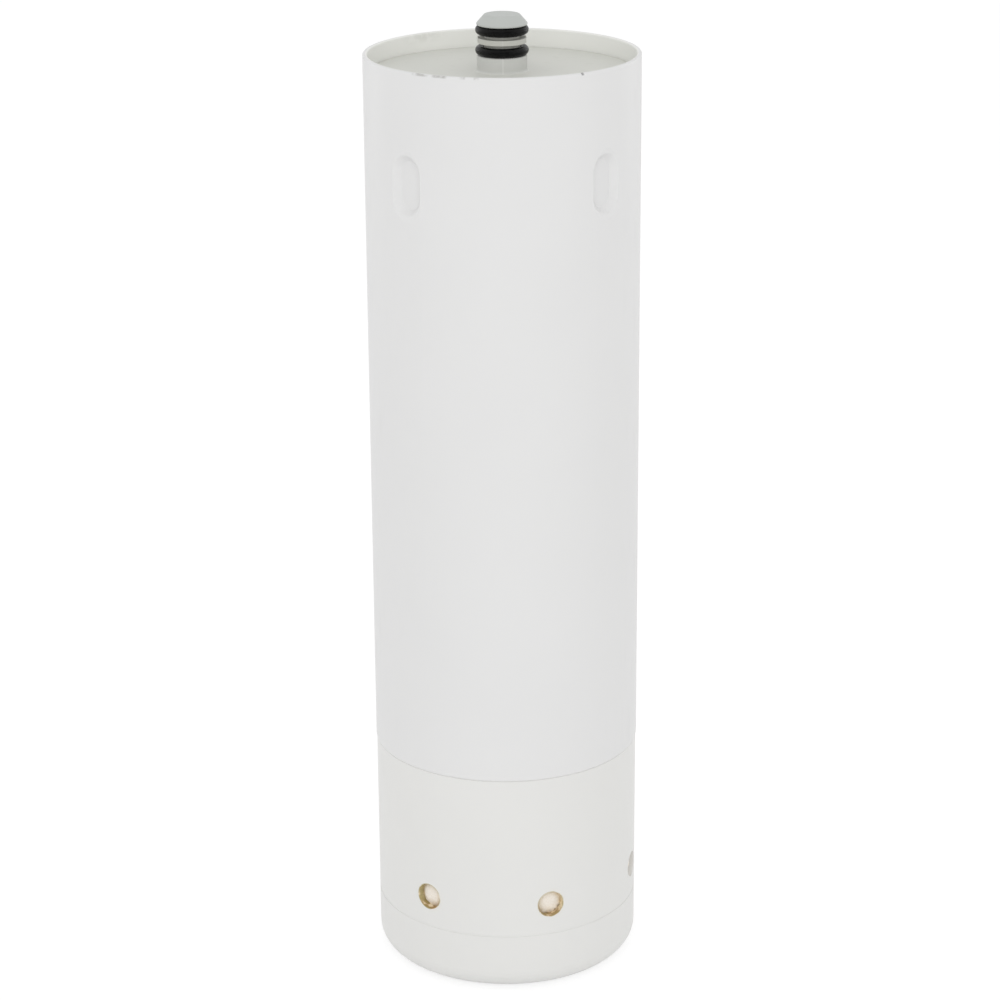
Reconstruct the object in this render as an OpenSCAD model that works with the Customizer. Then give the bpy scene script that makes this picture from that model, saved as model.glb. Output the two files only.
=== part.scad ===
// Water filter cartridge: a long white canister that stands on its inlet end.
// Water enters through the ports in the bottom cup, soaks through the felt behind them,
// passes the wrapped carbon block towards its bore and leaves through the spigot on top.
// The origin is the centre of the base and +Z points to the spigot.

/* [Canister tube] */
// Outer diameter of the tube
shell_d = 76; // [72:0.5:90]
// Wall thickness of the tube
shell_wall = 2.4; // [2.2:0.1:2.8]
// Height of the rim above the base
rim_h = 265.7; // [230:0.1:300]
// Thickness of the rim that stands above the top cap
rim_wall = 1.3; // [1:0.1:1.5]
// Radius on the outer and inner edges of the rim
rim_round = 0.45; // [0.2:0.05:0.5]
// Height of the joint between tube and cup above the base
joint_h = 66.3; // [58:0.1:80]
// Radius on the tube's lower outer edge, which makes the joint line
joint_round = 0.25; // [0.1:0.05:0.4]

/* [Locating pockets] */
// Number of pockets around the tube
pocket_count = 4; // [2:1:4]
// Distance from the rim down to the middle of the pockets
pocket_drop = 30.9; // [28:0.1:40]
// Width of a pocket across its rounded lip
pocket_w = 11; // [10:0.1:12.5]
// Height of a pocket across its rounded lip
pocket_h = 17.6; // [16:0.1:22]
// Depth of a pocket's floor below the tube's surface
pocket_depth = 2; // [1.5:0.1:2.2]
// Lean of a pocket's sides against its floor, in degrees
side_lean = 45; // [40:1:60]
// Radius on the lip of a pocket
pocket_lip = 1; // [0.6:0.1:1.2]
// Radius between a pocket's side and its floor
pocket_fillet = 0.6; // [0.3:0.1:0.8]
// Drop of the lip's top below the tube's highest line, since the surface falls away beside it
lip_drop = 0.22; // [0.1:0.01:0.4]
// Slope of the flare that runs the lip out at a pocket's two ends, in degrees
flare_slope = 12; // [8:1:20]
// Length of that flare
flare_run = 1.6; // [1:0.1:2.5]
// Wall left behind a pocket's floor
pocket_backing = 1.5; // [1.2:0.1:1.8]
// Margin of a pocket's back around its mouth
back_margin = 0.5; // [0.3:0.1:1]
// Chamfer around a pocket's back
back_chamfer = 0.6; // [0.3:0.1:0.8]

/* [Top cap] */
// Depth of the cap's face below the rim
face_depth = 5.1; // [4:0.1:8]
// Thickness of the cap's disc
disc_t = 3; // [2:0.1:4]
// Radial gap between the cap and the tube
cap_gap = 0.05; // [0.03:0.01:0.1]
// Chamfer around the cap's face
face_chamfer = 0.3; // [0.1:0.05:0.5]
// Length of the skirt that centres the cap in the tube
skirt_h = 4; // [3:0.5:6]
// Thickness of that skirt
skirt_t = 1.6; // [1.2:0.1:2]
// Chamfer that leads the skirt into the tube
skirt_chamfer = 0.5; // [0.3:0.1:0.8]
// Number of stiffening ribs under the disc
rib_count = 8; // [6:1:12]
// Thickness of a rib
rib_t = 1.5; // [1:0.1:2]
// Height of a rib beside the socket
rib_h = 7; // [4:0.5:8]
// Length over which a rib keeps that height
rib_land = 4; // [2:0.5:8]
// Distance that a rib's outer end stays back from the skirt's edge
rib_setback = 1; // [0.5:0.1:2]

/* [Spigot] */
// Radius of the spigot's base
base_r = 6.85; // [6.7:0.05:7]
// Radius of the fillet at the spigot's foot
foot_fillet = 0.8; // [0.4:0.1:1.2]
// Distance from the rim up to the lower ring groove, negative when it is below the rim
groove_rise = -0.75; // [-1.5:0.05:1]
// Width of each ring groove
groove_w = 3.4; // [3.2:0.1:4]
// Radius of the groove floor
groove_r = 4.85; // [4.6:0.05:4.9]
// Chamfer on the base's edge at the lower groove
base_chamfer = 0.25; // [0.1:0.05:0.5]
// Height of the land between the two grooves
land_h = 1.4; // [1:0.1:2]
// Radius of the land
land_r = 6.7; // [6.5:0.05:6.85]
// Radius of the nose where it starts above the upper groove
nose_r = 6.95; // [6.8:0.05:7.1]
// Chamfer on the nose's edge at the upper groove
nose_chamfer = 0.15; // [0.05:0.05:0.3]
// Height of the straight band at the start of the nose
nose_band = 0.5; // [0.3:0.1:1]
// Height of the nose's cone
nose_cone = 2.4; // [1.8:0.1:4]
// Radius of the flat end of the nose, out to where the cone's line meets it
nose_tip_r = 4.85; // [3.5:0.05:5.2]
// Radius between the nose's cone and its flat end
tip_round = 0.6; // [0.3:0.1:1]
// Radius of the blind bore inside the spigot
bore_r = 2.7; // [2:0.1:3]
// Length of that bore past the outlet ports
bore_overrun = 0.6; // [0.3:0.1:1.5]
// Radius of the outlet ports between the two rings
outlet_r = 1.2; // [0.8:0.1:1.3]
// Number of outlet ports
outlet_count = 2; // [2:1:4]

/* [O-rings] */
// Diameter of the section of the two spigot rings
ring_section = 2.5; // [2.4:0.1:2.6]
// Free inner diameter of the spigot rings
ring_id = 9.5; // [9.2:0.1:9.6]
// Gap between a ring and the groove wall that it has been pushed against
ring_side_gap = 0.08; // [0.05:0.01:0.15]
// Gap left between a ring and the surface that it is squeezed on
ring_seat_gap = 0.02; // [0.01:0.01:0.05]
// Diameter of the section of the small ring on the element's stub
stub_ring_section = 2; // [1.9:0.1:2.1]

/* [Bottom cup] */
// Step from the tube's surface in to the cup's surface
cup_step = 0.2; // [0.05:0.05:0.5]
// Wall thickness of the cup
cup_wall = 2.4; // [2:0.1:2.6]
// Thickness of the cup's floor
floor_t = 2.6; // [2:0.1:4]
// Outer radius of the bottom corner
corner_r = 6; // [4:0.5:8]
// Height of the fine line around the cup above the base
line_h = 17.6; // [12:0.1:20]
// Width of that line
line_w = 0.5; // [0.3:0.1:0.8]
// Depth of that line
line_depth = 0.1; // [0.05:0.01:0.2]
// Chamfer on the cup's upper outer edge
cup_chamfer = 0.2; // [0.1:0.05:0.4]
// Length of the tongue that goes up inside the tube
tongue_h = 9; // [6:0.5:12]
// Length over which the tongue is rooted in the cup's wall
tongue_root = 4; // [2:0.5:8]
// Radial gap between tongue and tube
tongue_gap = 0.05; // [0.03:0.01:0.1]
// Gap at the outer joint line
joint_gap = 0.2; // [0.1:0.05:0.3]
// Radius of the shallow recess in the base
base_recess_r = 27; // [20:1:28]
// Depth of that recess
base_recess_depth = 0.6; // [0.3:0.1:0.8]
// Number of ribs on the cup's floor that carry the element
floor_rib_count = 6; // [4:1:8]
// Height of those ribs above the floor
floor_rib_h = 5; // [4:0.5:8]
// Thickness of those ribs
floor_rib_t = 1.8; // [1.4:0.1:2.4]
// Distance from the axis at which those ribs start
floor_rib_start = 8; // [5:0.5:15]

/* [Inlet ports] */
// Diameter of an inlet port
port_d = 7.6; // [6:0.1:8]
// Height of the ports' axes above the base
port_h = 26.8; // [26:0.1:32]
// Number of ports in each of the two facing groups
ports_per_group = 3; // [1:1:3]
// Angle between neighbouring ports of a group, in degrees
port_pitch = 56; // [50:1:60]
// Turn of the cup's middle port from the front of the spigot, in degrees
port_turn = 17.4; // [-30:0.1:30]

/* [Inlet felt] */
// Thickness of the felt ring behind the ports
felt_t = 1.9; // [1.2:0.1:2]
// Height of the felt ring, which stands on the cup's ribs
felt_h = 34; // [32:1:40]
// Gap between the felt and the cup
felt_gap = 0.05; // [0.03:0.01:0.1]

/* [Filter element] */
// Radius of the carbon block's bore
block_bore_r = 9; // [6:0.5:12]
// Thickness of the fleece wrapped around the block
wrap_t = 1; // [0.6:0.1:1.2]
// Thickness of the fleece sleeve in the block's bore
sleeve_t = 0.8; // [0.5:0.1:1.2]
// Thickness of the element's end caps
end_cap_t = 2.2; // [1.6:0.1:3]
// Height of the end caps' skirts around the block
end_skirt_h = 5; // [3:0.5:8]
// Thickness of the lower end cap's skirt, which sets how large a block goes in
end_skirt_t = 1.2; // [0.8:0.1:2]
// Height of the pilot by which an end cap is centred in the block's bore
pilot_h = 4; // [2:0.5:8]
// Wall thickness of that pilot
pilot_t = 1.5; // [1:0.1:1.8]
// Gap between parts of the element
element_gap = 0.05; // [0.03:0.01:0.1]
// Gap between the upper end cap and the backs of the pockets
guide_gap = 0.3; // [0.2:0.05:0.5]
// Gap between the lower end cap and the felt
lower_gap = 0.4; // [0.3:0.05:0.6]
// Height of the element's top above the middle of the pockets
element_rise = 6.9; // [5:0.1:8]

/* [Outlet stub] */
// Radius of the element's outlet stub
stub_r = 6.4; // [6:0.1:6.8]
// Radius of the channel through the stub
stub_bore_r = 3; // [2:0.1:3.4]
// Chamfer on the stub's end
stub_chamfer = 0.6; // [0.3:0.1:1]
// Radial gap between the stub and its socket
stub_gap = 0.15; // [0.1:0.01:0.2]
// Radial squeeze of the small ring in the socket
stub_squeeze = 0.2; // [0.1:0.05:0.3]
// Distance from the stub's end down to the middle of the small ring
stub_ring_drop = 3.2; // [2.8:0.1:5]
// Room left beside the small ring in its groove
stub_groove_play = 0.7; // [0.4:0.1:1]
// Wall thickness of the socket under the top cap
socket_wall = 2.2; // [1.6:0.1:3]
// Solid stretch between the socket's end and the disc's underside
socket_head = 2; // [1:0.1:3]
// Gap left above the stub in its socket
stub_end_gap = 1; // [0.5:0.1:2]
// Gap between the socket's mouth and the upper end cap
socket_mouth_gap = 2.4; // [1.5:0.1:3]
// Chamfer that leads the stub into its socket
socket_lead = 0.8; // [0.4:0.1:1.2]

/* [Hidden] */
$fn = 96;
// Overlap that lets one cut or join run cleanly into the next
eps = 0.01;
// Length by which a cut runs past the surface that it opens
past = 3;
// Length over which a pocket's back is joined to the tube's wall
back_root = 0.4;

// Radii of the canister
shell_r = shell_d / 2;
tube_bore_r = shell_r - shell_wall;
rim_bore_r = shell_r - rim_wall;
cup_r = shell_r - cup_step;
cup_bore_r = cup_r - cup_wall;
pocket_floor_r = shell_r - pocket_depth;
pocket_back_r = pocket_floor_r - pocket_backing;
// The tube's lower end is cut back to half its wall for the cup's tongue
joint_bore_r = shell_r - shell_wall / 2;
tongue_r = joint_bore_r - tongue_gap;

// Heights on the tube. The tongue's end seats on the step inside the tube
pocket_z = rim_h - pocket_drop;
tongue_top_z = joint_h + tongue_h;
cup_top_z = joint_h - joint_gap;

// Heights on the top cap and its spigot. The disc's edge seats on the step under the rim
face_z = rim_h - face_depth;
disc_z = face_z - disc_t;
skirt_z = disc_z - skirt_h;
lower_groove_z = rim_h + groove_rise;
land_z = lower_groove_z + groove_w;
upper_groove_z = land_z + land_h;
nose_z = upper_groove_z + groove_w;
cone_z = nose_z + nose_band;
tip_z = cone_z + nose_cone;

// Radii on the top cap
skirt_r = tube_bore_r - cap_gap;
face_r = rim_bore_r - cap_gap;

// Each ring has been pushed to the groove wall that is further from the land
ring_mid_r = groove_r + ring_section / 2 - (groove_r - ring_id / 2) / 2;
lower_ring_z = lower_groove_z + ring_side_gap + ring_section / 2;
upper_ring_z = nose_z - ring_side_gap - ring_section / 2;
// The outlet ports open midway between the two rings
outlet_z = (lower_ring_z + upper_ring_z) / 2;
bore_top_z = outlet_z + outlet_r + bore_overrun;

// Heights of the element between the cup's ribs and the socket
element_z = floor_t + floor_rib_h;
end_cap_top_z = pocket_z + element_rise;
block_z = element_z + end_cap_t;
block_top_z = end_cap_top_z - end_cap_t;
fleece_h = block_top_z - block_z - element_gap;

// Radii of the element, from the cup's wall inwards
felt_r = cup_bore_r - felt_gap;
felt_bore_r = felt_r - felt_t;
lower_cap_r = felt_bore_r - lower_gap;
upper_cap_r = pocket_back_r - guide_gap;
end_skirt_bore_r = lower_cap_r - end_skirt_t;
wrap_r = end_skirt_bore_r - element_gap;
block_r = wrap_r - wrap_t;
sleeve_r = block_bore_r - element_gap;
pilot_r = sleeve_r - sleeve_t - element_gap;

// The stub, its ring and its socket
stub_socket_r = stub_r + stub_gap;
socket_boss_r = stub_socket_r + socket_wall;
socket_end_z = disc_z - socket_head;
socket_lip_z = end_cap_top_z + socket_mouth_gap;
stub_top_z = socket_end_z - stub_end_gap;
stub_ring_z = stub_top_z - stub_ring_drop;
stub_groove_r = stub_socket_r - stub_ring_section + stub_squeeze;
stub_groove_w = stub_ring_section + stub_groove_play;
stub_ring_mid_r = (stub_groove_r + stub_socket_r) / 2;

// Angles of the ports: two groups that face each other across the cup
port_angles = [for (side = [0, 180]) for (k = [0 : ports_per_group - 1])
    side + port_turn + (k - (ports_per_group - 1) / 2) * port_pitch];

// Points along an arc about c, from angle a0 to a1
function arc(c, r, a0, a1, steps = 6) =
    [for (i = [0 : steps]) c + r * [cos(a0 + (a1 - a0) * i / steps), sin(a0 + (a1 - a0) * i / steps)]];

// A solid of revolution about the vertical axis from a profile of [radius, height] points
module turned(points) {
    rotate_extrude() polygon(points);
}

// A tube of the given outer and inner radius
module pipe(outer, inner, z, height) {
    translate([0, 0, z]) difference() {
        cylinder(r = outer, h = height);
        translate([0, 0, -past]) cylinder(r = inner, h = height + 2 * past);
    }
}

// Copies at equal angles around the axis, the first one turned by the given share of a step
module around(count, share = 0) {
    for (k = [0 : count - 1]) rotate([0, 0, (k + share) * 360 / count]) children();
}

// Half profile of a pocket: [distance from its long axis, distance from the tube's axis]
// From the middle of the floor it runs through the fillet, the leaning side, the lip and the flare
function pocket_profile() =
    let (half = pocket_w / 2,
         mouth_r = shell_r - lip_drop,
         side_run = (mouth_r - pocket_floor_r) / tan(side_lean),
         floor_half = half - side_run - (pocket_lip + pocket_fillet) * tan(side_lean / 2))
    concat([[0, pocket_floor_r]],
           arc([floor_half, pocket_floor_r + pocket_fillet], pocket_fillet, -90, side_lean - 90, 4),
           arc([half, mouth_r - pocket_lip], pocket_lip, 90 + side_lean, 90 + flare_slope, 5),
           [[half + flare_run, mouth_r + flare_run * tan(flare_slope)],
            [half + flare_run, shell_r + past], [0, shell_r + past]]);

// Half profile of a pocket's back, which stands out from the tube's bore
function pocket_back_profile() =
    let (half = pocket_w / 2 + back_margin,
         root_r = tube_bore_r + back_root)
    [[0, pocket_back_r], [half - back_chamfer, pocket_back_r], [half, pocket_back_r + back_chamfer],
     [half, root_r], [0, root_r]];

// An obround cut or back: half turns at both ends and a straight stretch between them
// The profile's second coordinate becomes the distance from the tube's axis
module obround(profile, straight) {
    mirrored = [for (i = [len(profile) - 1 : -1 : 0]) [-profile[i][0], profile[i][1]]];
    rotate([90, 0, 0]) {
        for (end = [0, 1]) rotate([0, 0, 180 * end])
            translate([0, straight / 2, 0]) rotate_extrude(angle = 180) polygon(profile);
        translate([0, straight / 2, 0]) rotate([90, 0, 0])
            linear_extrude(height = straight) polygon(concat(profile, mirrored));
    }
}

// One upright obround for each pocket, the first half a step to the side of the front
module at_pockets(profile) {
    around(pocket_count, 0.5) translate([0, 0, pocket_z]) obround(profile, pocket_h - pocket_w);
}

// The moulded tube: thin rim above the cap's seat, pockets with their backs, joint socket
module outer_tube() {
    color([0.9, 0.9, 0.88]) difference() {
        union() {
            turned(concat(
                [[tube_bore_r, tongue_top_z], [joint_bore_r, tongue_top_z], [joint_bore_r, joint_h]],
                arc([shell_r - joint_round, joint_h + joint_round], joint_round, -90, 0),
                arc([shell_r - rim_round, rim_h - rim_round], rim_round, 0, 90),
                arc([rim_bore_r + rim_round, rim_h - rim_round], rim_round, 90, 180),
                [[rim_bore_r, disc_z], [tube_bore_r, disc_z]]));
            at_pockets(pocket_back_profile());
        }
        at_pockets(pocket_profile());
    }
}

// The nose's flat end, rounded where it meets the cone
function nose_end() =
    let (cone_normal = atan2(nose_r - nose_tip_r, nose_cone))
    concat(arc([nose_tip_r - tip_round * tan((90 - cone_normal) / 2), tip_z - tip_round],
               tip_round, cone_normal, 90),
           [[0, tip_z]]);

// The cap's skirt, face and spigot in one profile, from the disc's underside round to the nose
function cap_profile() = concat(
    [[0, disc_z], [skirt_r - skirt_t, disc_z], [skirt_r - skirt_t, skirt_z],
     [skirt_r - skirt_chamfer, skirt_z], [skirt_r, skirt_z + skirt_chamfer], [skirt_r, disc_z],
     [face_r, disc_z], [face_r, face_z - face_chamfer], [face_r - face_chamfer, face_z]],
    arc([base_r + foot_fillet, face_z + foot_fillet], foot_fillet, 270, 180),
    [[base_r, lower_groove_z - base_chamfer], [base_r - base_chamfer, lower_groove_z],
     [groove_r, lower_groove_z], [groove_r, land_z], [land_r, land_z], [land_r, upper_groove_z],
     [groove_r, upper_groove_z], [groove_r, nose_z], [nose_r - nose_chamfer, nose_z],
     [nose_r, nose_z + nose_chamfer], [nose_r, cone_z]],
    nose_end());

// A stiffening rib between the socket and the skirt, lower towards the skirt
module cap_rib() {
    inner = stub_socket_r + socket_wall / 2;
    outer = skirt_r - skirt_t / 2;
    rotate([90, 0, 0]) translate([0, 0, -rib_t / 2]) linear_extrude(height = rib_t)
        polygon([[inner, disc_z + eps], [inner, disc_z - rib_h], [inner + rib_land, disc_z - rib_h],
                 [outer, skirt_z + rib_setback], [outer, disc_z + eps]]);
}

// The room for the stub, with its lead-in
module stub_socket() {
    translate([0, 0, socket_lip_z - past])
        cylinder(r = stub_socket_r, h = socket_end_z - socket_lip_z + past);
    translate([0, 0, socket_lip_z - eps])
        cylinder(r1 = stub_socket_r + socket_lead, r2 = stub_socket_r, h = socket_lead);
}

// The blind bore in the spigot and the outlet ports that open from it between the rings
module outlet_channels() {
    translate([0, 0, socket_end_z - eps]) cylinder(r = bore_r, h = bore_top_z - socket_end_z);
    around(outlet_count) translate([0, 0, outlet_z]) rotate([0, 90, 0])
        cylinder(r = outlet_r, h = nose_r + past);
}

// Top cap: recessed disc, spigot with two ring grooves and a closed nose, socket and ribs below
module top_cap() {
    color([0.86, 0.87, 0.84]) difference() {
        union() {
            turned(cap_profile());
            translate([0, 0, socket_lip_z]) cylinder(r = socket_boss_r, h = disc_z - socket_lip_z + eps);
            around(rib_count, 0.5) cap_rib();
        }
        stub_socket();
        outlet_channels();
    }
}

// A spigot ring, round in section and flattened where it is stretched over the groove's floor
module spigot_ring(z) {
    color([0.06, 0.06, 0.06]) rotate_extrude() intersection() {
        translate([ring_mid_r, z]) circle(d = ring_section);
        translate([groove_r + ring_seat_gap, z - ring_section]) square([ring_section, 2 * ring_section]);
    }
}

module upper_o_ring() {
    spigot_ring(upper_ring_z);
}

module lower_o_ring() {
    spigot_ring(lower_ring_z);
}

// A rounded block of the given radius, used for the cup's outside and its inside
module round_bottomed(r, corner, z, top) {
    rotate_extrude() {
        translate([0, z + corner]) square([r, top - z - corner]);
        translate([0, z]) square([r - corner, corner + eps]);
        translate([r - corner, z + corner]) intersection() {
            circle(r = corner);
            translate([-eps, -corner]) square([corner + eps, corner + eps]);
        }
    }
}

// The cup's body up to the joint line, with its upper outer edge chamfered
module cup_body() {
    difference() {
        round_bottomed(cup_r, corner_r, 0, cup_top_z);
        turned([[cup_r - cup_chamfer, cup_top_z + eps], [cup_r + eps, cup_top_z + eps],
                [cup_r + eps, cup_top_z - cup_chamfer - eps]]);
    }
}

// The cup's inside, with the ribs left standing on its floor
module cup_room() {
    difference() {
        round_bottomed(cup_bore_r, corner_r - cup_wall, floor_t, tongue_top_z + past);
        around(floor_rib_count) translate([floor_rib_start, -floor_rib_t / 2, 0])
            cube([cup_bore_r, floor_rib_t, element_z]);
    }
}

// Bottom cup: rounded base, two groups of inlet ports, floor ribs, tongue for the joint
module bottom_cup() {
    color([0.9, 0.9, 0.88]) difference() {
        union() {
            cup_body();
            translate([0, 0, joint_h - tongue_root]) cylinder(r = tongue_r, h = tongue_root + tongue_h);
        }
        cup_room();
        translate([0, 0, -past]) cylinder(r = base_recess_r, h = base_recess_depth + past);
        pipe(cup_r + past, cup_r - line_depth, line_h - line_w / 2, line_w);
        for (a = port_angles) rotate([0, 0, a]) translate([0, 0, port_h]) rotate([90, 0, 0])
            cylinder(d = port_d, h = cup_r + past);
    }
}

// Felt ring that stands against the cup's wall and covers the ports from inside
module inlet_felt() {
    color([0.88, 0.83, 0.76]) pipe(felt_r, felt_bore_r, element_z, felt_h);
}

// The stub that stands on the upper end cap, with the groove of its ring
module stub() {
    turned([[0, end_cap_top_z - eps], [stub_r, end_cap_top_z - eps],
            [stub_r, stub_ring_z - stub_groove_w / 2], [stub_groove_r, stub_ring_z - stub_groove_w / 2],
            [stub_groove_r, stub_ring_z + stub_groove_w / 2], [stub_r, stub_ring_z + stub_groove_w / 2],
            [stub_r, stub_top_z - stub_chamfer], [stub_r - stub_chamfer, stub_top_z], [0, stub_top_z]]);
}

// Upper end cap of the element, guided by the backs of the pockets, with the outlet stub
module upper_end_cap() {
    pilot_z = block_top_z - pilot_h;
    color([0.88, 0.88, 0.86]) difference() {
        union() {
            translate([0, 0, block_top_z]) cylinder(r = upper_cap_r, h = end_cap_t);
            pipe(upper_cap_r, end_skirt_bore_r, block_top_z - end_skirt_h, end_skirt_h + eps);
            translate([0, 0, pilot_z]) cylinder(r = pilot_r, h = pilot_h + eps);
            stub();
        }
        translate([0, 0, pilot_z - past]) cylinder(r = stub_bore_r, h = stub_top_z - pilot_z + 2 * past);
        translate([0, 0, pilot_z - past]) cylinder(r = pilot_r - pilot_t, h = pilot_h + past);
    }
}

// Lower end cap of the element, closed, with a pilot in the block's bore
module lower_end_cap() {
    color([0.88, 0.88, 0.86]) {
        translate([0, 0, element_z]) cylinder(r = lower_cap_r, h = end_cap_t);
        pipe(lower_cap_r, end_skirt_bore_r, block_z - eps, end_skirt_h + eps);
        pipe(pilot_r, pilot_r - pilot_t, block_z - eps, pilot_h + eps);
    }
}

// The small ring on the stub, flattened between its groove and the socket's wall
module stub_o_ring() {
    seat = stub_groove_r + ring_seat_gap;
    color([0.06, 0.06, 0.06]) rotate_extrude() intersection() {
        translate([stub_ring_mid_r, stub_ring_z]) circle(d = stub_ring_section);
        translate([seat, stub_ring_z - stub_ring_section])
            square([stub_socket_r - ring_seat_gap - seat, 2 * stub_ring_section]);
    }
}

// The pressed carbon block with its bore
module carbon_block() {
    color([0.12, 0.12, 0.12]) pipe(block_r, block_bore_r, block_z, block_top_z - block_z);
}

// The fleece around the block
module block_wrap() {
    color([0.9, 0.89, 0.85]) pipe(wrap_r, block_r + element_gap, block_z, fleece_h);
}

// The fleece sleeve in the block's bore
module core_sleeve() {
    color([0.93, 0.93, 0.92]) pipe(sleeve_r, sleeve_r - sleeve_t, block_z, fleece_h);
}

outer_tube();
top_cap();
upper_o_ring();
lower_o_ring();
bottom_cup();
inlet_felt();
upper_end_cap();
lower_end_cap();
stub_o_ring();
carbon_block();
block_wrap();
core_sleeve();
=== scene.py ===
"""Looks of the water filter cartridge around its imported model: finishes, fabric pieces, studio and camera."""
import logging
import math
from collections.abc import Callable
from dataclasses import dataclass
from enum import Enum

import bpy
from mathutils import Matrix, Vector


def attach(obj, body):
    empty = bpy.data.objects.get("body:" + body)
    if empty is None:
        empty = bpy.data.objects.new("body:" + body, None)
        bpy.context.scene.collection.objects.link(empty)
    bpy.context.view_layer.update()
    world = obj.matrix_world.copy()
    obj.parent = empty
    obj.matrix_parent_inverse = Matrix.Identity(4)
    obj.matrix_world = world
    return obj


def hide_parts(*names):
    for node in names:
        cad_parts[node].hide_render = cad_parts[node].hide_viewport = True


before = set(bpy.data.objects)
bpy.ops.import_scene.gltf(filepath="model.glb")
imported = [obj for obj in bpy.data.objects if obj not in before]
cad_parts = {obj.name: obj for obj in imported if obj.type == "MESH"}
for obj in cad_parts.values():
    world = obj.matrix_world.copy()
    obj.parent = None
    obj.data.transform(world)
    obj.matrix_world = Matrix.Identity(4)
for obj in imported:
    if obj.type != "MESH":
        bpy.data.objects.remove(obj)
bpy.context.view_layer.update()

MM = 0.001
BODY = "root"
Colour = tuple[float, float, float]
log = logging.getLogger("cartridge")


class Hold(Enum):
    """Ways in which a piece of cloth is held in the cartridge."""

    AGAINST_WALL = "laid"
    PULLED_TIGHT = "stretched"


class Ray(Enum):
    """Kinds of ray that see the backdrop as white."""

    CAMERA = "Is Camera Ray"
    GLOSSY = "Is Glossy Ray"
    TRANSMISSION = "Is Transmission Ray"


class Graph:
    """A node tree that is filled through one method."""

    def __init__(self, tree: bpy.types.NodeTree) -> None:
        """Take a tree and empty it."""
        self.tree = tree
        tree.nodes.clear()

    def add(self, kind: str, settings: dict | None = None, sockets: dict | None = None) -> bpy.types.Node:
        """Add one node of any type.

        Args:
            kind: the node's type, without its prefix.
            settings: its properties, which are set first.
            sockets: a value, socket or signal for each input, by name or number.

        Returns:
            The new node.
        """
        node = self.tree.nodes.new("ShaderNode" + kind)
        for name, value in (settings or {}).items():
            setattr(node, name, value)
        for key, value in (sockets or {}).items():
            self.feed(node.inputs[key], value)
        return node

    def feed(self, target: bpy.types.NodeSocket, value: "Signal | bpy.types.NodeSocket | float | tuple") -> None:
        """Link a signal or a socket to an input, or set the input's own value.

        Args:
            target: the input.
            value: what it gets.
        """
        if isinstance(value, Signal):
            self.tree.links.new(value.socket, target)
        elif isinstance(value, bpy.types.NodeSocket):
            self.tree.links.new(value, target)
        elif target.type == "RGBA":
            target.default_value = (*value, 1.0)
        else:
            target.default_value = value


class Signal:
    """A shader value that Python's operators turn into Math nodes."""

    def __init__(self, graph: Graph, socket: bpy.types.NodeSocket) -> None:
        """Wrap one output socket of a graph."""
        self.graph = graph
        self.socket = socket

    def math(self, operation: str, *others: "Signal | float") -> "Signal":
        """Add a Math node with this value first.

        Args:
            operation: the node's operation.
            others: the values that follow.

        Returns:
            The node's result.
        """
        sockets = dict(enumerate((self, *others)))
        return Signal(self.graph, self.graph.add("Math", {"operation": operation}, sockets).outputs[0])

    def __add__(self, other: "Signal | float") -> "Signal":
        """Return the sum."""
        return self.math("ADD", other)

    def __sub__(self, other: "Signal | float") -> "Signal":
        """Return the difference."""
        return self.math("SUBTRACT", other)

    def __rsub__(self, other: float) -> "Signal":
        """Return a number less this value."""
        return -self + other

    def __mul__(self, other: "Signal | float") -> "Signal":
        """Return the product."""
        return self.math("MULTIPLY", other)

    def __truediv__(self, other: "Signal | float") -> "Signal":
        """Return the quotient."""
        return self.math("DIVIDE", other)

    def __pow__(self, other: float) -> "Signal":
        """Return the power."""
        return self.math("POWER", other)

    def __neg__(self) -> "Signal":
        """Return the value with its sign turned."""
        return self.math("MULTIPLY", -1.0)

    def __abs__(self) -> "Signal":
        """Return the value without its sign."""
        return self.math("ABSOLUTE")

    __radd__ = __add__
    __rmul__ = __mul__

    def smaller(self, other: "Signal | float") -> "Signal":
        """Return the smaller of two values."""
        return self.math("MINIMUM", other)

    def larger(self, other: "Signal | float") -> "Signal":
        """Return the larger of two values."""
        return self.math("MAXIMUM", other)

    def ramp(self, start: float, end: float) -> "Signal":
        """Go smoothly from 0 to 1.

        Args:
            start: the value that gives 0.
            end: the value that gives 1, above or below start.

        Returns:
            The smooth step.
        """
        sockets = {0: self, 1: start, 2: end}
        node = self.graph.add("MapRange", {"interpolation_type": "SMOOTHSTEP"}, sockets)
        return Signal(self.graph, node.outputs[0])


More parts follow.
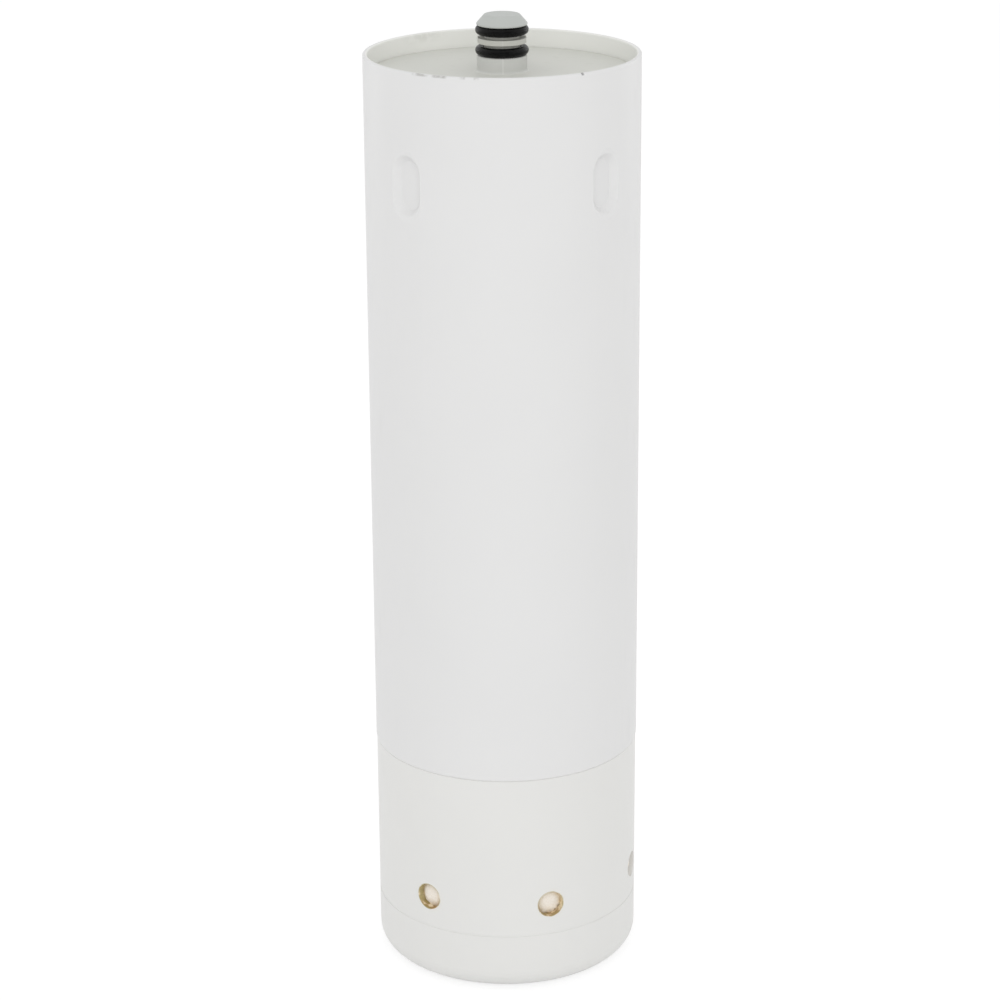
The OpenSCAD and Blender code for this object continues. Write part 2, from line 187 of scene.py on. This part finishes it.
class Surface:
    """A material in the making, with its coordinates in millimetres."""

    def __init__(self, name: str) -> None:
        """Start a material and its coordinates."""
        self.material = bpy.data.materials.new(name)
        self.material.use_nodes = True
        self.graph = Graph(self.material.node_tree)
        here = self.graph.add("TexCoord").outputs["Object"]
        scaled = self.graph.add("VectorMath", {"operation": "SCALE"}, {0: here, "Scale": 1 / MM})
        self.place = scaled.outputs[0]
        axes = self.graph.add("SeparateXYZ", None, {0: self.place}).outputs
        self.x, self.y, self.z = (Signal(self.graph, axis) for axis in axes)
        self.radius = (self.x * self.x + self.y * self.y) ** 0.5
        self.azimuth = self.x.math("ARCTAN2", -self.y) * math.degrees(1.0)

    def noise(self, size: float, detail: float = 2.0, stretch: Colour = (1.0, 1.0, 1.0)) -> Signal:
        """Make soft noise.

        Args:
            size: the size of its largest blotches, in millimetres.
            detail: how many finer layers it has.
            stretch: how much closer it lies along X, Y and Z.

        Returns:
            The noise, from 0 to 1 around 0.5.
        """
        mapped = self.graph.add("Mapping", None, {"Vector": self.place, "Scale": stretch}).outputs[0]
        sockets = {"Vector": mapped, "Scale": 1.0 / size, "Detail": detail}
        return Signal(self.graph, self.graph.add("TexNoise", None, sockets).outputs[0])

    def grains(self, size: float) -> Signal:
        """Return the distance to scattered grains of a size in millimetres, 0 at their middles."""
        sockets = {"Vector": self.place, "Scale": 1.0 / size}
        return Signal(self.graph, self.graph.add("TexVoronoi", None, sockets).outputs["Distance"])

    def mix(self, share: Signal, first: "Colour | bpy.types.NodeSocket", second: Colour) -> bpy.types.NodeSocket:
        """Mix two colours.

        Args:
            share: how much of the second shows, from 0 to 1.
            first: the colour underneath.
            second: the colour on top.

        Returns:
            The mixed colour.
        """
        sockets = {0: share, 6: first, 7: second}
        return self.graph.add("Mix", {"data_type": "RGBA", "clamp_factor": True}, sockets).outputs[2]

    def shade(self, colour: "Colour | bpy.types.NodeSocket", level: Signal) -> bpy.types.NodeSocket:
        """Return a colour made lighter or darker by a level around 1."""
        return self.graph.add("VectorMath", {"operation": "SCALE"}, {0: colour, "Scale": level}).outputs[0]

    def bump(self, height: Signal, depth: float) -> bpy.types.NodeSocket:
        """Return a normal for a height from 0 to 1 that stands for a depth in millimetres."""
        return self.graph.add("Bump", None, {"Height": height, "Distance": depth * MM}).outputs[0]

    def close(
        self, colour: bpy.types.NodeSocket, roughness: Signal, normal: bpy.types.NodeSocket, fixed: dict
    ) -> bpy.types.Material:
        """End the material with its shader.

        Args:
            colour: the base colour.
            roughness: the roughness.
            normal: the normal.
            fixed: values that are the same all over, by socket.

        Returns:
            The finished material.
        """
        sockets = {"Base Color": colour, "Roughness": roughness, "Normal": normal, **fixed}
        shader = self.graph.add("BsdfPrincipled", None, sockets).outputs[0]
        self.graph.add("OutputMaterial", None, {"Surface": shader})
        return self.material


@dataclass(frozen=True)
class MouldedPlastic:
    """White moulded plastic: faint mottling, fine handling scuffs and a moulded skin's soft ripple."""

    name: str
    tone: Colour
    gloss: float = 0.38
    mottling: float = 0.018
    mottle_size: float = 34.0
    scuffing: float = 0.16
    scuff_size: float = 2.4
    ripple_size: float = 1.7
    ripple: float = 0.006

    def mark(self, surface: Surface, colour: bpy.types.NodeSocket) -> bpy.types.NodeSocket:
        """Return the colour with the piece's own marks, which plain plastic hasn't."""
        return colour

    def material(self) -> bpy.types.Material:
        """Return the finished material."""
        surface = Surface(self.name)
        mottle = surface.noise(self.mottle_size, 3.0)
        colour = surface.shade(self.tone, mottle * (2.0 * self.mottling) + (1.0 - self.mottling))
        colour = self.mark(surface, colour)
        scuff = surface.noise(self.scuff_size, 4.0, (1.0, 1.0, 0.22)).ramp(0.55, 0.75)
        roughness = scuff * self.scuffing + mottle * 0.06 + self.gloss
        skin = surface.noise(self.ripple_size, 1.0)
        return surface.close(colour, roughness, surface.bump(skin, self.ripple), {"IOR": 1.49})


@dataclass(frozen=True)
class RimMark:
    """A mark on the rim: where it lies round the rim, in degrees, how strong it is and its colour."""

    azimuth: float
    half_width: float
    strength: float
    colour: Colour = (0.28, 0.27, 0.24)


@dataclass(frozen=True)
class TubePlastic(MouldedPlastic):
    """The tube's plastic, with painted light inside the rim, grey streaks and a dark speck on the rim's front
    edge.
    """

    streaks: tuple[RimMark, ...] = (
        RimMark(-36.8, 4.6, 0.5),
        RimMark(-27.8, 3.9, 0.6),
        RimMark(-17.9, 1.6, 0.35),
        RimMark(-12.2, 1.4, 0.3),
        RimMark(31.9, 0.85, 1.0, (0.02, 0.02, 0.02)),
    )
    edge_z: float = 265.15
    edge_r: float = 37.35
    smudge: RimMark = RimMark(-145.0, 15.0, 0.16, (0.36, 0.35, 0.3))
    smudge_z: float = 263.6
    inside_r: float = 37.0
    inside_z: float = 257.6
    # Painted light: a lighter colour for the inside of the rim, which gets less light in the recess.
    painted_light_inside_colour: Colour = (0.86, 0.862, 0.828)

    def mark(self, surface: Surface, colour: bpy.types.NodeSocket) -> bpy.types.NodeSocket:
        """Return the colour with painted light inside the rim, its streaks and its smudge."""
        # Painted light: the inside wall of the rim is painted lighter to stand in for light it lacks.
        inside = surface.radius.ramp(self.inside_r + 0.3, self.inside_r) * surface.z.ramp(
            self.inside_z - 0.5, self.inside_z
        )
        colour = surface.mix(inside, colour, self.painted_light_inside_colour)
        patchy = surface.noise(1.7, 2.0).ramp(0.28, 0.6)
        edge = surface.z.ramp(self.edge_z - 0.2, self.edge_z + 0.2)
        edge = edge * surface.radius.ramp(self.edge_r - 0.25, self.edge_r + 0.15)
        for streak in self.streaks:
            off = abs(surface.azimuth - streak.azimuth)
            mask = off.ramp(streak.half_width, streak.half_width * 0.45) * edge
            colour = surface.mix(mask * patchy * streak.strength, colour, streak.colour)
        off = abs(surface.azimuth - self.smudge.azimuth)
        mask = off.ramp(self.smudge.half_width, 0.0) * surface.z.ramp(self.smudge_z - 1.2, self.smudge_z + 0.9)
        return surface.mix(mask * patchy * self.smudge.strength, colour, self.smudge.colour)


@dataclass(frozen=True)
class AtPort:
    """Measures from the axis of the nearest port: distance, way to its right and above it, and its staining."""

    distance: Signal
    aside: Signal
    rise: Signal
    stained: Signal


@dataclass(frozen=True)
class PortRing:
    """Where the inlet ports lie in the cup's wall, in millimetres and degrees, and how stained each is."""

    radius: float = 3.8
    height: float = 26.8
    turn: float = 17.4
    spacing: float = 56.0
    per_side: int = 3
    sides: int = 2
    reach: float = 12.0
    stains: tuple[float, ...] = (1.0, 0.85, 0.0, 0.6, 0.8, 0.5)

    def azimuths(self) -> list[float]:
        """Return each port's azimuth, from the front towards +X."""
        middle = (self.per_side - 1) / 2
        return [
            self.turn + 360.0 / self.sides * side + self.spacing * (port - middle)
            for side in range(self.sides)
            for port in range(self.per_side)
        ]

    def nearest(self, surface: Surface) -> AtPort:
        """Measure from the axis of the nearest port.

        Args:
            surface: the material that asks.

        Returns:
            The measures, with aside counted to the right of someone who faces the port.
        """
        rise = surface.z - self.height
        distance = None
        aside = None
        stained = None
        for azimuth, stain in zip(self.azimuths(), self.stains):
            turn = math.radians(azimuth)
            across = surface.x * math.cos(turn) + surface.y * math.sin(turn)
            outward = surface.x * math.sin(turn) - surface.y * math.cos(turn)
            behind = outward.ramp(self.reach, 0.0) * 100.0
            from_axis = (across * across + rise * rise) ** 0.5 + behind
            here = from_axis.ramp(self.reach, self.reach * 0.9)
            distance = from_axis if distance is None else distance.smaller(from_axis)
            aside = across * here if aside is None else aside + across * here
            stained = here * stain if stained is None else stained + here * stain
        return AtPort(distance, aside, rise, stained)


@dataclass(frozen=True)
class CupPlastic(MouldedPlastic):
    """The cup's plastic, with rust from the water in and around its ports."""

    ports: PortRing = PortRing()
    halo_colour: Colour = (0.76, 0.71, 0.6)
    halo: float = 0.3
    halo_width: float = 1.6
    outline_colour: Colour = (0.40, 0.35, 0.15)
    outline: float = 0.75
    outline_width: float = 0.3
    wall_colour: Colour = (0.93, 0.79, 0.53)
    drip_colour: Colour = (0.42, 0.26, 0.10)

    def mark(self, surface: Surface, colour: bpy.types.NodeSocket) -> bpy.types.NodeSocket:
        """Return the colour with a halo, a dark outline and rusty walls at each port."""
        edge = self.ports.radius
        port = self.ports.nearest(surface)
        patchy = surface.noise(1.8, 3.0)
        blotch = surface.noise(5.0, 2.0)
        halo = port.distance.ramp(edge + self.halo_width, edge) * blotch.ramp(0.3, 0.7) * port.stained
        colour = surface.mix(halo * self.halo, colour, self.halo_colour)
        wall = port.distance.ramp(edge + 0.1, edge + 0.02) * port.stained
        colour = surface.mix(wall * (patchy.ramp(0.2, 0.5) * 0.4 + 0.6), colour, self.wall_colour)
        drip = wall * port.rise.ramp(-1.4, -3.2) * patchy.ramp(0.36, 0.54)
        colour = surface.mix(drip, colour, self.drip_colour)
        ring = port.distance.ramp(edge + self.outline_width, edge + 0.08)
        ring = ring * port.distance.ramp(edge - 0.3, edge - 0.02)
        broken = (patchy + port.rise * 0.03 - port.aside * 0.02).ramp(0.38, 0.56)
        return surface.mix(ring * broken * port.stained * self.outline, colour, self.outline_colour)


@dataclass(frozen=True)
class CapPlastic(MouldedPlastic):
    """The top cap's plastic: a greener off-white disc with painted shade in its corner, a greyer spigot with
    painted shade on its neck, and a painted highlight along its moulding line.
    """

    spigot_colour: Colour = (0.60, 0.605, 0.58)
    nose_colour: Colour = (0.50, 0.52, 0.50)
    nose_z: float = 273.3
    spigot_r: float = 7.9
    face_z: float = 260.6
    # Painted shade: the neck between and under the rings is painted darker than the rest of the spigot.
    neck_shade_colour: Colour = (0.54, 0.54, 0.495)
    neck_z: tuple[float, float] = (264.9, 273.2)
    # Painted highlight: a lighter colour along the moulding line, for the light its ridge catches.
    line_highlight_colour: Colour = (0.74, 0.74, 0.72)
    line_half: float = 0.11
    # Painted shade: a darker colour along the disc's corner against the rim.
    corner_r: float = 36.65
    corner_shade_colour: Colour = (0.42, 0.42, 0.37)

    def mark(self, surface: Surface, colour: bpy.types.NodeSocket) -> bpy.types.NodeSocket:
        """Return the colour with the spigot's tones, painted shade on its neck between the rings, a painted
        highlight along its moulding line and patchy painted shade in the disc's corner.
        """
        # Painted shade: a patchy darker band along the disc's corner, where the rim shades it.
        patches = surface.radius.ramp(self.corner_r - 1.6, self.corner_r) * surface.noise(3.0).ramp(0.3, 0.8)
        colour = surface.mix(patches * 0.45, colour, self.corner_shade_colour)
        spigot = surface.radius.ramp(self.spigot_r + 0.3, self.spigot_r - 0.4)
        spigot = spigot * surface.z.ramp(self.face_z - 0.1, self.face_z + 0.5)
        colour = surface.mix(spigot, colour, self.spigot_colour)
        # Painted shade on the neck, where the rings keep light off it.
        low, high = self.neck_z
        neck = surface.z.ramp(low - 0.1, low + 0.2) * surface.z.ramp(high + 0.1, high - 0.2)
        colour = surface.mix(spigot * neck, colour, self.neck_shade_colour)
        # Painted highlight: the moulding line is painted lighter, standing in for light caught by its ridge.
        line = abs(surface.x).ramp(self.line_half + 0.1, self.line_half - 0.05) * surface.radius.ramp(3.5, 4.5)
        nose = surface.z.ramp(self.nose_z - 0.15, self.nose_z)
        colour = surface.mix(spigot * nose, colour, self.nose_colour)
        line = line * spigot * (1.0 - nose) * (1.0 - neck * 0.6)
        return surface.mix(line * 0.6, colour, self.line_highlight_colour)


@dataclass(frozen=True)
class RingRubber:
    """Black rubber with a film of grease that is thicker in some places than in others."""

    name: str = "greased black rubber"
    tone: Colour = (0.0025, 0.0025, 0.0025)
    worn_tone: Colour = (0.007, 0.007, 0.0075)
    grease: float = 0.24
    dry: float = 0.42

    def material(self) -> bpy.types.Material:
        """Return the finished material."""
        surface = Surface(self.name)
        smear = surface.noise(1.6, 3.0, (1.0, 1.0, 2.5))
        colour = surface.mix(smear.ramp(0.4, 0.75), self.tone, self.worn_tone)
        roughness = smear.ramp(0.3, 0.7) * (self.dry - self.grease) + self.grease
        skin = surface.bump(surface.noise(0.35, 2.0), 0.012)
        return surface.close(colour, roughness, skin, {"Specular IOR Level": 0.14})


@dataclass(frozen=True)
class NeedledFelt:
    """Cream needled felt: matted fibres, darker between them, with rust behind each port."""

    name: str = "rust-stained needled felt"
    tone: Colour = (0.93, 0.875, 0.80)
    shadow_tone: Colour = (0.80, 0.71, 0.60)
    rust: Colour = (0.80, 0.60, 0.34)
    ports: PortRing = PortRing()

    def material(self) -> bpy.types.Material:
        """Return the finished material."""
        surface = Surface(self.name)
        fibres = surface.noise(0.5, 4.0, (1.0, 1.0, 2.2))
        clumps = surface.noise(2.2, 2.0)
        colour = surface.mix(fibres.ramp(0.62, 0.34) * 0.55, self.tone, self.shadow_tone)
        port = self.ports.nearest(surface)
        ring = port.distance.ramp(self.ports.radius - 1.3, self.ports.radius) * port.distance.ramp(6.0, 4.0)
        low = port.rise.ramp(1.0, -3.4) * port.distance.ramp(5.5, 3.0)
        stain = (ring * 0.6).larger(low * 0.3) * clumps.ramp(0.3, 0.62) * port.stained
        colour = surface.mix(stain, colour, self.rust)
        height = fibres * 0.7 + clumps * 0.3
        fixed = {"Sheen Weight": 0.15, "Specular IOR Level": 0.2}
        return surface.close(colour, fibres * 0.1 + 0.85, surface.bump(height, 0.25), fixed)


@dataclass(frozen=True)
class SpunFleece:
    """White spunbond fleece: thin crossing fibres pressed at points in a grid."""

    name: str = "white spunbond fleece"
    tone: Colour = (0.76, 0.75, 0.71)
    thin_tone: Colour = (0.6, 0.59, 0.55)
    pitch: float = 2.0

    def material(self) -> bpy.types.Material:
        """Return the finished material."""
        surface = Surface(self.name)
        along = surface.noise(0.6, 3.0, (1.0, 1.0, 0.15))
        across = surface.noise(0.6, 3.0, (0.2, 0.2, 1.5))
        fibres = (along + across) * 0.5
        colour = surface.mix(fibres.ramp(0.58, 0.4) * 0.6, self.tone, self.thin_tone)
        points = surface.grains(self.pitch).ramp(0.3, 0.12)
        height = fibres - points * 0.4
        return surface.close(colour, fibres * 0.15 + 0.8, surface.bump(height, 0.12), {"Specular IOR Level": 0.25})


@dataclass(frozen=True)
class PressedCarbon:
    """Pressed activated carbon: matt black grains with open pores between them."""

    name: str = "pressed carbon"
    tone: Colour = (0.012, 0.012, 0.013)
    grain_tone: Colour = (0.045, 0.045, 0.047)
    grain_size: float = 0.7

    def material(self) -> bpy.types.Material:
        """Return the finished material."""
        surface = Surface(self.name)
        grains = surface.grains(self.grain_size)
        patches = surface.noise(6.0, 4.0)
        colour = surface.mix(grains.ramp(0.5, 0.1) * patches.ramp(0.3, 0.7), self.tone, self.grain_tone)
        return surface.close(colour, patches * 0.2 + 0.75, surface.bump(1.0 - grains, 0.2), {})


def clear_selection() -> None:
    """Deselect every object, because the loaded model is still selected."""
    if bpy.context.object and bpy.context.object.mode != "OBJECT":
        bpy.ops.object.mode_set(mode="OBJECT")
    bpy.ops.object.select_all(action="DESELECT")


def dress(node: str, material: bpy.types.Material) -> None:
    """Give every material slot of a carried-over piece a new material.

    Args:
        node: the piece's name.
        material: what it gets.
    """
    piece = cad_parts[node]
    for place in piece.material_slots:
        place.material = material
    log.info("dressed %s in %s", node, material.name)


@dataclass
class WallRing:
    """A ring with a flat wall between two radii, in millimetres, made from an open cylinder."""

    name: str
    slot: str
    inner_r: float
    outer_r: float
    floor_z: float
    top_z: float
    columns: int
    rows: int
    material: bpy.types.Material

    @property
    def middle_r(self) -> float:
        """Radius of the wall's middle."""
        return (self.inner_r + self.outer_r) / 2

    @property
    def height(self) -> float:
        """Height of the ring."""
        return self.top_z - self.floor_z

    def roll(self) -> bpy.types.Object:
        """Return the open ring, with its height cut into rows."""
        clear_selection()
        bpy.ops.mesh.primitive_cylinder_add(
            vertices=self.columns,
            radius=self.middle_r * MM,
            depth=self.height * MM,
            end_fill_type="NOTHING",
            location=(0.0, 0.0, (self.floor_z + self.height / 2) * MM),
        )
        ring = bpy.context.object
        ring.name = self.name
        bpy.ops.object.transform_apply(location=True, rotation=True, scale=True)
        bpy.context.tool_settings.mesh_select_mode = (False, True, False)
        bpy.ops.object.mode_set(mode="EDIT")
        bpy.ops.mesh.select_all(action="SELECT")
        bpy.ops.mesh.normals_make_consistent(inside=False)
        bpy.ops.mesh.select_all(action="DESELECT")
        bpy.ops.object.mode_set(mode="OBJECT")
        for edge in ring.data.edges:
            low, high = (ring.data.vertices[end].co.z for end in edge.vertices)
            edge.select = abs(high - low) > self.height * MM / 2
        bpy.ops.object.mode_set(mode="EDIT")
        bpy.ops.mesh.subdivide(number_cuts=self.rows - 1)
        bpy.ops.object.mode_set(mode="OBJECT")
        return ring

    def apply(self, ring: bpy.types.Object, kind: str, settings: dict) -> None:
        """Add a modifier to the ring and apply it.

        Args:
            ring: the piece.
            kind: the modifier's type.
            settings: its properties.
        """
        modifier = ring.modifiers.new(kind.lower(), kind)
        for key, value in settings.items():
            setattr(modifier, key, value)
        bpy.ops.object.modifier_apply(modifier=modifier.name)

    def push(self, ring: bpy.types.Object, chosen: Callable[[Vector], bool], way: Vector) -> None:
        """Move the chosen faces of the ring's outer side.

        Args:
            ring: the piece.
            chosen: says for a face's centre, in metres, whether the face moves.
            way: how far it moves, in metres.
        """
        bpy.context.tool_settings.mesh_select_mode = (False, False, True)
        bpy.ops.object.mode_set(mode="EDIT")
        bpy.ops.mesh.select_all(action="DESELECT")
        bpy.ops.object.mode_set(mode="OBJECT")
        for face in ring.data.polygons:
            face.select = face.center.xy.length > self.middle_r * MM and chosen(face.center)
        bpy.ops.object.mode_set(mode="EDIT")
        bpy.ops.transform.translate(value=way)
        bpy.ops.object.mode_set(mode="OBJECT")

    def shape(self, ring: bpy.types.Object) -> None:
        """Shape the closed wall, which a plain ring doesn't need."""

    def build(self) -> bpy.types.Object:
        """Model the ring, dress it and let it ride on the cartridge.

        Returns:
            The finished piece.
        """
        ring = self.roll()
        self.apply(ring, "SOLIDIFY", {"thickness": (self.outer_r - self.inner_r) * MM, "offset": 0.0})
        self.shape(ring)
        bpy.ops.object.shade_smooth_by_angle(angle=math.radians(50.0))
        ring.data.materials.append(self.material)
        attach(ring, BODY)
        log.info("built %s, %d faces", self.name, len(ring.data.polygons))
        return ring


@dataclass
class RolledSheet(WallRing):
    """A strip of cloth rolled into a ring, with a butt seam at the back and an uneven surface."""

    node: str
    hold: Hold
    carrier: str
    seam_depth: float
    unevenness: float
    lump: float
    seam_columns: int = 3

    def press_seam(self, ring: bpy.types.Object) -> None:
        """Press the seam at the back of the ring into its outer face."""
        half_seam = math.pi / self.columns * self.seam_columns
        self.push(
            ring,
            lambda at: at.y > 0 and abs(math.atan2(at.x, at.y)) < half_seam,
            Vector((0.0, -self.seam_depth * MM, 0.0)),
        )

    def shape(self, ring: bpy.types.Object) -> None:
        """Press the seam and make the cloth uneven, never thicker than the sheet."""
        self.press_seam(ring)
        lumps = bpy.data.textures.new(self.name, type="CLOUDS")
        lumps.noise_scale = self.lump * MM
        settings = {"texture": lumps, "strength": self.unevenness * MM, "mid_level": 1.0}
        self.apply(ring, "DISPLACE", {**settings, "texture_coords": "LOCAL"})

    def build(self) -> bpy.types.Object:
        """Model the sheet and hide the piece that it stands for.

        Returns:
            The finished piece.
        """
        ring = super().build()
        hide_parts(self.node)
        flat = (2.0 * math.pi * self.middle_r * MM, self.height * MM)
        return ring


@dataclass
class FeltStrip(RolledSheet):
    """The felt strip in the cup, swollen into each port by the water."""

    ports: PortRing = PortRing()
    swelling: tuple[tuple[float, float], ...] = ((3.1, 0.8), (2.5, 0.5), (1.7, 0.3))

    def shape(self, ring: bpy.types.Object) -> None:
        """Let the felt swell into the ports, in steps of reach and push, and finish it as cloth."""
        for azimuth in self.ports.azimuths():
            turn = math.radians(azimuth)
            out = Vector((math.sin(turn), -math.cos(turn), 0.0))
            axis = Vector((0.0, 0.0, self.ports.height * MM))
            for reach, push in self.swelling:
                self.push(
                    ring,
                    lambda at: at.dot(out) > 0 and (at - axis).cross(out).length < reach * MM,
                    out * push * MM,
                )
        super().shape(ring)


@dataclass
class CanisterTube:
    """The outer tube with its rim and pockets."""

    node: str = "outer_tube"
    finish: TubePlastic = TubePlastic("white tube plastic", (0.765, 0.764, 0.761))

    def build(self) -> None:
        """Dress the tube."""
        dress(self.node, self.finish.material())


@dataclass
class TopEnd:
    """The top cap with its spigot and the rings on it."""

    cap: str = "top_cap"
    rings: tuple[str, ...] = ("upper_o_ring", "lower_o_ring")
    cap_finish: CapPlastic = CapPlastic("off-white cap plastic", (0.655, 0.66, 0.615), gloss=0.45)
    ring_finish: RingRubber = RingRubber()

    def build(self) -> None:
        """Dress the cap and the rings."""
        dress(self.cap, self.cap_finish.material())
        rubber = self.ring_finish.material()
        for ring in self.rings:
            dress(ring, rubber)


@dataclass
class InletEnd:
    """The bottom cup, the felt strip inside its ports and the weld bead in its joint with the tube."""

    node: str = "bottom_cup"
    joint_z: float = 66.3
    joint_gap: float = 0.22
    bead_r: float = 37.78
    bead_finish: MouldedPlastic = MouldedPlastic("weld bead plastic", (0.80, 0.80, 0.79), gloss=0.5)
    cup_finish: CupPlastic = CupPlastic("white cup plastic", (0.772, 0.770, 0.752))
    felt_finish: NeedledFelt = NeedledFelt()

    def build(self) -> None:
        """Dress the cup, roll the felt and lay the bead."""
        dress(self.node, self.cup_finish.material())
        FeltStrip(
            name="inlet_felt_strip",
            node="inlet_felt",
            slot="felt",
            inner_r=33.45,
            outer_r=35.35,
            floor_z=7.6,
            top_z=41.6,
            hold=Hold.AGAINST_WALL,
            carrier="bottom_cup",
            columns=240,
            rows=38,
            seam_depth=0.6,
            unevenness=0.35,
            lump=1.6,
            material=self.felt_finish.material(),
        ).build()
        WallRing(
            name="joint_weld_bead",
            slot="shell_plastic",
            inner_r=36.9,
            outer_r=self.bead_r,
            floor_z=self.joint_z - self.joint_gap / 2,
            top_z=self.joint_z + self.joint_gap / 2,
            columns=240,
            rows=3,
            material=self.bead_finish.material(),
        ).build()


@dataclass
class FilterElement:
    """The carbon block with its fleece, end caps and the stub's ring."""

    end_caps: tuple[str, ...] = ("upper_end_cap", "lower_end_cap")
    stub_ring: str = "stub_o_ring"
    block: str = "carbon_block"
    cap_finish: MouldedPlastic = MouldedPlastic("white end cap plastic", (0.75, 0.75, 0.73), gloss=0.5)
    fleece_finish: SpunFleece = SpunFleece()
    carbon_finish: PressedCarbon = PressedCarbon()
    block_floor: float = 9.8
    block_top: float = 239.45

    def build(self) -> None:
        """Dress the rigid pieces and roll the fleece round the block and in its bore."""
        plastic = self.cap_finish.material()
        for cap in self.end_caps:
            dress(cap, plastic)
        dress(self.stub_ring, RingRubber("stub ring rubber").material())
        dress(self.block, self.carbon_finish.material())
        fleece = self.fleece_finish.material()
        shared = {"slot": "fleece", "floor_z": self.block_floor, "top_z": self.block_top, "material": fleece}
        shared |= {"hold": Hold.PULLED_TIGHT, "carrier": "carbon_block", "rows": 60}
        RolledSheet(
            name="block_wrap_fleece",
            node="block_wrap",
            inner_r=30.85,
            outer_r=31.8,
            columns=120,
            seam_depth=0.3,
            unevenness=0.12,
            lump=4.0,
            **shared,
        ).build()
        RolledSheet(
            name="core_sleeve_fleece",
            node="core_sleeve",
            inner_r=8.15,
            outer_r=8.95,
            columns=64,
            seam_depth=0.2,
            unevenness=0.08,
            lump=3.0,
            **shared,
        ).build()


@dataclass
class PhotoCamera:
    """The camera at the photograph's viewing angle: metres, radians and a lens on a 36 mm sensor."""

    place: Colour = (-0.0266, -0.8082, 0.4142)
    lens: float = 107.74
    sensor: float = 36.0
    pitch: float = 0.3303
    turn: float = 0.0312
    roll: float = -0.0067

    def build(self) -> None:
        """Add the camera and make it the scene's own."""
        data = bpy.data.cameras.new("photo_camera")
        data.lens = self.lens
        data.sensor_width = self.sensor
        camera = bpy.data.objects.new("photo_camera", data)
        bpy.context.scene.collection.objects.link(camera)
        aim = Matrix.Rotation(-self.turn, 4, "Z") @ Matrix.Rotation(math.pi / 2 - self.pitch, 4, "X")
        camera.matrix_world = Matrix.Translation(self.place) @ aim @ Matrix.Rotation(self.roll, 4, "Z")
        bpy.context.scene.camera = camera
        log.info("placed the camera")


@dataclass(frozen=True)
class SoftLamp:
    """A large lamp that faces a target; its level is the light it adds to a surface that faces it."""

    name: str
    place: Colour
    width: float
    height: float
    level: float
    reflected: bool
    target: Colour = (0.0, 0.0, 0.14)

    def build(self) -> None:
        """Add the lamp, unseen by the camera."""
        away = Vector(self.place) - Vector(self.target)
        data = bpy.data.lights.new(self.name, "AREA")
        data.shape = "RECTANGLE"
        data.size = self.width
        data.size_y = self.height
        data.energy = self.level * math.pi ** 2 * away.length_squared
        lamp = bpy.data.objects.new(self.name, data)
        lamp.matrix_world = Matrix.Translation(self.place) @ away.to_track_quat("Z", "Y").to_matrix().to_4x4()
        lamp.visible_camera = False
        lamp.visible_glossy = self.reflected
        lamp.visible_transmission = False
        bpy.context.scene.collection.objects.link(lamp)
        log.info("placed %s", self.name)


@dataclass
class Studio:
    """A white studio: soft light all round, more from the front and the sides, and a floor with a shadow."""

    ambient: float = 0.805
    front_dark: float = 0.65
    floor_side: float = 14.0
    floor_tone: Colour = (0.93, 0.93, 0.93)
    floor_white: float = 0.62
    floor_glow: float = 1.17
    lamps: tuple[SoftLamp, ...] = (
        SoftLamp("front_softbox", (-0.05, -1.9, 1.0), 1.4, 1.4, 0.215, reflected=False),
        SoftLamp("left_strip", (-0.985, 0.77, 0.35), 0.16, 0.9, 0.065, reflected=True),
        SoftLamp("right_strip", (0.985, 0.77, 0.35), 0.16, 0.9, 0.06, reflected=True),
    )

    def shown(self, graph: Graph) -> tuple[Signal, Signal]:
        """Tell which rays see the backdrop.

        Args:
            graph: the floor's or the world's tree.

        Returns:
            1 where a ray sees the white backdrop and 0 where it carries soft light, and 1 for glossy rays.
        """
        path = graph.add("LightPath")
        camera, glossy, transmission = (Signal(graph, path.outputs[ray.value]) for ray in Ray)
        return camera.larger(glossy).larger(transmission), glossy

    def light_world(self) -> None:
        """Make the world white to the camera, soft to surfaces and darker in reflections of the room's front."""
        world = bpy.data.worlds.new("studio")
        bpy.context.scene.world = world
        world.use_nodes = True
        graph = Graph(world.node_tree)
        shown, glossy = self.shown(graph)
        direction = graph.add("TexCoord").outputs["Generated"]
        ahead = Signal(graph, graph.add("SeparateXYZ", None, {0: direction}).outputs["Y"])
        dark = glossy * ahead.ramp(-0.35, -0.9) * self.front_dark
        strength = shown * (1.0 - self.ambient) + self.ambient - dark
        sky = graph.add("Background", None, {"Color": (1.0, 1.0, 1.0), "Strength": strength})
        graph.add("OutputWorld", None, {"Surface": sky.outputs[0]})

    def lay_floor(self) -> None:
        """Add the floor, white to the camera where no shadow falls."""
        clear_selection()
        bpy.ops.mesh.primitive_plane_add(size=self.floor_side)
        floor = bpy.context.object
        floor.name = "studio_floor"
        material = bpy.data.materials.new("pale floor")
        material.use_nodes = True
        graph = Graph(material.node_tree)
        shown, _ = self.shown(graph)
        paint = graph.add("BsdfDiffuse", None, {"Color": self.floor_tone})
        glow = graph.add("Emission", None, {"Color": (1.0, 1.0, 1.0), "Strength": self.floor_glow})
        sockets = {0: shown * self.floor_white, 1: paint.outputs[0], 2: glow.outputs[0]}
        both = graph.add("MixShader", None, sockets)
        graph.add("OutputMaterial", None, {"Surface": both.outputs[0]})
        floor.data.materials.append(material)

    def build(self) -> None:
        """Light the world, lay the floor and hang the lamps."""
        self.light_world()
        self.lay_floor()
        for lamp in self.lamps:
            lamp.build()
        bpy.context.scene.view_settings.view_transform = "Standard"
        log.info("built the studio")


def main() -> None:
    """Build the studio, the camera and each sub-assembly in order."""
    logging.basicConfig(level=logging.INFO, format="%(name)s: %(message)s")
    for part in (PhotoCamera(), Studio(), CanisterTube(), TopEnd(), InletEnd(), FilterElement()):
        part.build()


if __name__ == "__main__":
    main()
